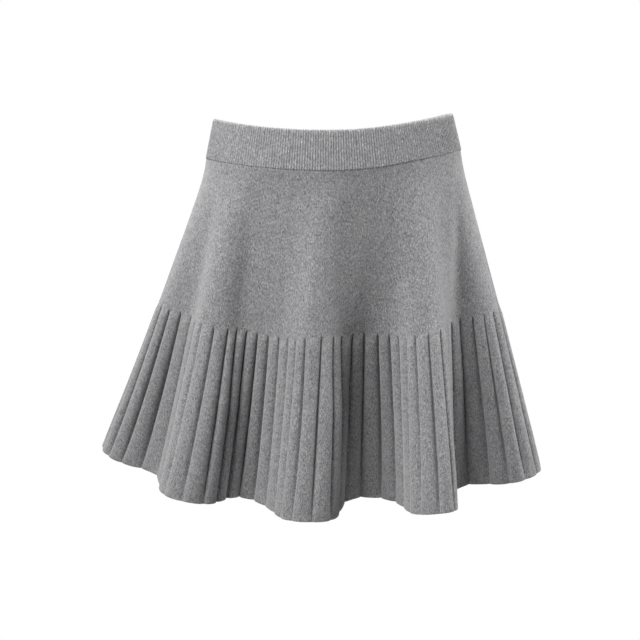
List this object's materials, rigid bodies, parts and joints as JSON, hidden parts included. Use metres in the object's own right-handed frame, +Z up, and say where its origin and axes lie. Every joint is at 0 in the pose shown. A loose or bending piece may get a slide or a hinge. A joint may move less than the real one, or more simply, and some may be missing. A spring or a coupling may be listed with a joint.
{
  "type": "pleated knit mini skirt",
  "caption": "Flared knit mini skirt with a ribbed waistband and rounded knit-in pleats from mid-thigh to hem, hollow and filled out as when worn.",
  "frame": {"origin": "middle of the waist opening, level with the waistband's top edge at the left side, which is 2.6 mm lower than at the right", "axes": "+Z up, the front faces -Y, and the skirt's left as seen from the front is -X"},
  "size_m": [0.4911, 0.2838, 0.4109],
  "materials": {
    "wool_knit": "matte brushed wool knit, grey melange",
    "wool_rib": "matte one-by-one wool rib, grey melange"
  },
  "bodies": {
    "root": {"waistband": "wool_rib", "front_panel": "wool_knit", "back_panel": "wool_knit"}
  },
  "joints": []
}
